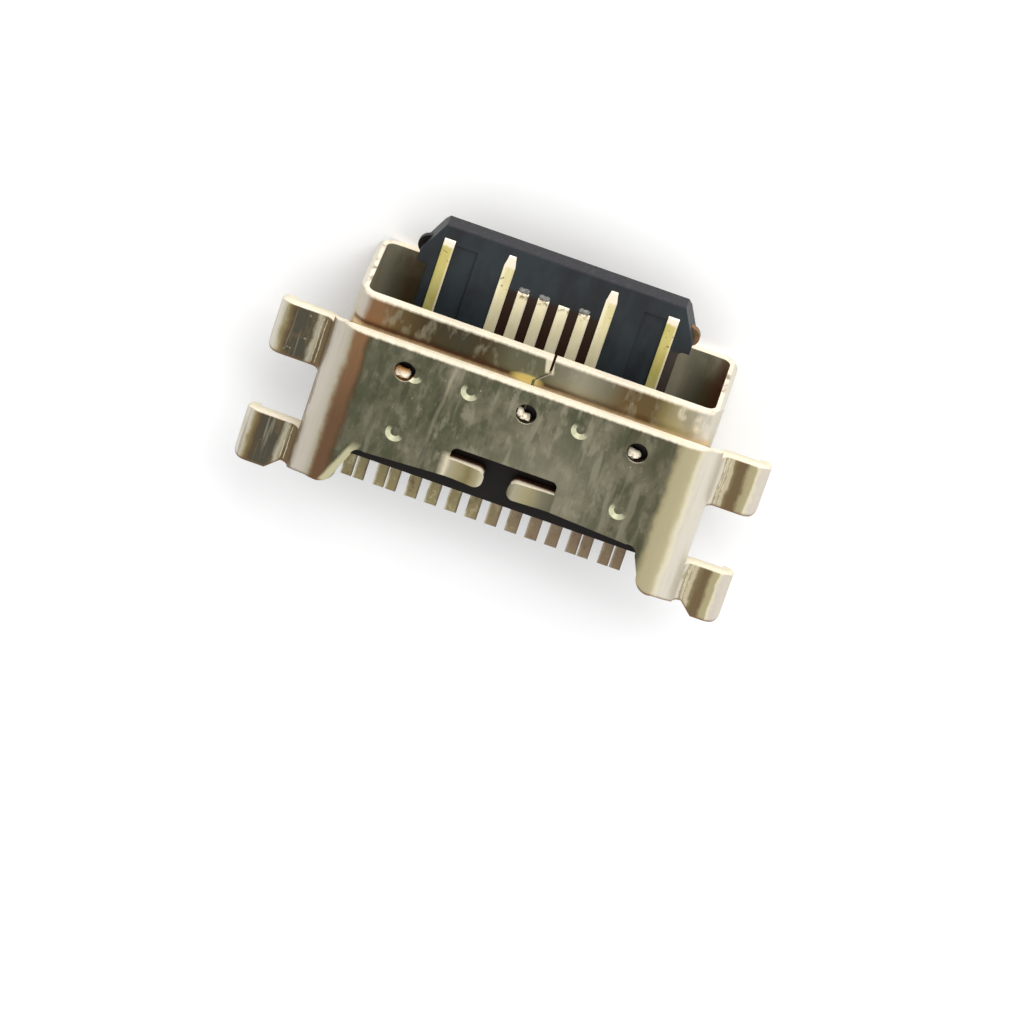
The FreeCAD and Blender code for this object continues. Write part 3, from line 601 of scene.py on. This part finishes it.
def bead(name, x, start, end, z, material):
    """A fine ridge along Y: half round, tapered at both ends and a little unsteady."""
    width, height, sunk = 0.036, 0.016, 0.004
    around, along = 6, 16
    bluntness, thinnest = 8, 0.02
    sways = ((0.004, 9, 1), (0.003, 23, 3))
    points = []
    for row in range(along + 1):
        part = row / along
        taper = math.sqrt(max(1 - (2 * part - 1) ** bluntness, thinnest))
        sway = sum(reach * math.sin(waves * part + shift * x) for reach, waves, shift in sways)
        for step in range(around + 1):
            angle = math.pi * step / around
            points.append((x + sway - math.cos(angle) * width / 2 * taper,
                           start + (end - start) * part,
                           z - sunk + math.sin(angle) * height * taper))
    faces = []
    for row in range(along):
        first = row * (around + 1)
        for near in range(first, first + around):
            faces.append((near, near + 1, near + around + 2, near + around + 1))
        faces.append((first, first + around + 1, first + 2 * around + 1, first + around))
    faces.append(tuple(range(around, -1, -1)))
    last = along * (around + 1)
    faces.append(tuple(range(last, last + around + 1)))
    add_piece(name, points, faces, material)


def chip(name, x, y, outline, material):
    """A thin flake of plastic on the tongue with a ragged outline, domed a little."""
    tongue_z, sunk, thick = 0.35, 0.005, 0.035
    shrink, shoulder = 0.82, 0.7
    count = len(outline)
    points = [(x + dx, y + dy, tongue_z - sunk) for dx, dy in outline]
    points += [(x + dx * shrink, y + dy * shrink, tongue_z + thick * shoulder)
               for dx, dy in outline]
    points.append((x, y, tongue_z + thick))
    faces = [tuple(range(count - 1, -1, -1))]
    for index in range(count):
        after = (index + 1) % count
        faces.append((index, after, count + after, count + index))
        faces.append((count + index, count + after, 2 * count))
    add_piece(name, points, faces, material)


def nugget(name, centre, radii, phase, material):
    """A small lump of weld metal: an uneven dome with a flat bottom."""
    rings, around = 7, 14
    lowest = math.pi * 0.62
    broad, narrow = 0.20, 0.10
    points = [(centre[0], centre[1], centre[2] + radii[2])]
    for ring in range(1, rings + 1):
        tilt = lowest * ring / rings
        for step in range(around):
            turn = 2 * math.pi * step / around
            lump = (1 + broad * math.sin(3 * turn + phase) * math.sin(2.3 * tilt + phase)
                    + narrow * math.sin(5 * turn))
            points.append((centre[0] + radii[0] * lump * math.sin(tilt) * math.cos(turn),
                           centre[1] + radii[1] * lump * math.sin(tilt) * math.sin(turn),
                           centre[2] + radii[2] * lump * math.cos(tilt)))
    faces = [(0, 1 + step, 1 + (step + 1) % around) for step in range(around)]
    for ring in range(rings - 1):
        first = 1 + ring * around
        for step in range(around):
            after = (step + 1) % around
            faces.append((first + step, first + around + step,
                          first + around + after, first + after))
    last = 1 + (rings - 1) * around
    faces.append(tuple(last + step for step in range(around - 1, -1, -1)))
    add_piece(name, points, faces, material)


# Two pale ridges, a painted highlight line, where each leg bends away from the cover's side, as
# (x, z)
LEG_ROOTS = {
    "left": ((4.95, 0.80), (4.86, 0.809)),
    "right": ((-5.11, 0.80), (-5.02, 0.809)),
}
LEG_SPANS = {"front": (1.33, 2.61), "hind": (4.33, 5.30)}
RIDGE = ridge_plate()
for side, roots in LEG_ROOTS.items():
    for row, (start, end) in LEG_SPANS.items():
        for index, (x, z) in enumerate(roots, start=1):
            bead(f"{side}_{row}_leg_ridge_{index}", x, start, end, z, RIDGE)

# Lumps of weld metal in the round holes, each with its x, how far it lies behind the middle
# of the holes, its radii and the phase of its unevenness
HOLE_ROW = 1.44
WELD_Z = 1.63
WELD = weld_metal()
for name, x, behind, radii, phase in (
        ("left_hole_nugget", 2.80, 0.14, (0.20, 0.15, 0.15), 0.4),
        ("middle_hole_nugget_1", -0.08, 0.10, (0.10, 0.13, 0.13), 1.7),
        ("middle_hole_nugget_2", -0.23, 0.17, (0.13, 0.10, 0.13), 2.9),
        ("right_hole_nugget", -2.89, 0.15, (0.17, 0.13, 0.14), 4.1)):
    nugget(name, (x, HOLE_ROW + behind, WELD_Z), radii, phase, WELD)

# Flakes at the tips of three of the short contacts; the second is the others' mirror image
CHIP = chip_plastic()
FLAKE = [(-0.14, -0.05), (-0.07, -0.08), (0.02, -0.06), (0.09, -0.08), (0.14, -0.03),
         (0.13, 0.06), (0.05, 0.08), (-0.03, 0.06), (-0.12, 0.08)]
MIRRORED = [(-dx, dy) for dx, dy in reversed(FLAKE)]
chip("tip_chip_1", 0.75, -0.81, FLAKE, CHIP)
chip("tip_chip_2", 0.25, -0.80, MIRRORED, CHIP)
chip("tip_chip_3", -0.73, -0.81, FLAKE, CHIP)


# Floor, lights and camera, in metres
def make_floor():
    half, white = 0.6, 0.93
    z = CAD_BOX[0][2]
    corners = [(-half, -half, z), (half, -half, z), (half, half, z), (-half, half, z)]
    mesh = bpy.data.meshes.new("floor")
    mesh.from_pydata(corners, [], [(0, 1, 2, 3)])
    floor = bpy.data.objects.new("floor", mesh)
    SCENE.collection.objects.link(floor)
    material = bpy.data.materials.new("floor_white")
    material.use_nodes = True
    shader = material.node_tree.nodes["Principled BSDF"]
    shader.inputs["Base Color"].default_value = (white, white, white, 1)
    shader.inputs["Roughness"].default_value = 1.0
    shader.inputs["Specular IOR Level"].default_value = 0.0
    mesh.materials.append(material)


def area_light(name, place, size, watts):
    """A rectangular lamp that points at the origin."""
    lamp = bpy.data.lights.new(name, "AREA")
    lamp.shape = "RECTANGLE"
    lamp.size, lamp.size_y = size
    lamp.energy = watts
    holder = bpy.data.objects.new(name, lamp)
    holder.location = place
    holder.rotation_euler = (-Vector(place)).to_track_quat("-Z", "Y").to_euler()
    SCENE.collection.objects.link(holder)


def make_world():
    world = bpy.data.worlds.new("studio")
    world.use_nodes = True
    background = world.node_tree.nodes["Background"]
    background.inputs["Color"].default_value = (1, 1, 1, 1)
    background.inputs["Strength"].default_value = 0.84
    SCENE.world = world


def make_camera():
    """The photograph's camera: a long lens from the mouth's side, turned half round."""
    camera = bpy.data.cameras.new("camera")
    camera.sensor_width = 36
    camera.lens = 282.2
    camera.clip_start = 0.01
    camera.clip_end = 5
    holder = bpy.data.objects.new("camera", camera)
    place = Vector((-3.22889, -86.70096, 165.83337)) * MM
    right = Vector((-0.94344549, -0.28363735, -0.1716405))
    down = Vector((-0.33124547, 0.82783197, 0.45273686))
    forward = Vector((0.01367641, 0.48398769, -0.87496793))
    turn = Matrix((right, -down, -forward)).transposed().to_4x4()
    holder.matrix_world = Matrix.Translation(place) @ turn
    SCENE.collection.objects.link(holder)
    SCENE.camera = holder


make_floor()
area_light("key", (-0.10, -0.28, 0.20), (0.30, 0.22), 1.0)
area_light("left", (0.35, 0.0, 0.12), (0.25, 0.3), 0.2)
area_light("right", (-0.35, 0.05, 0.12), (0.25, 0.3), 0.3)
make_world()
make_camera()
SCENE.view_settings.view_transform = "Standard"
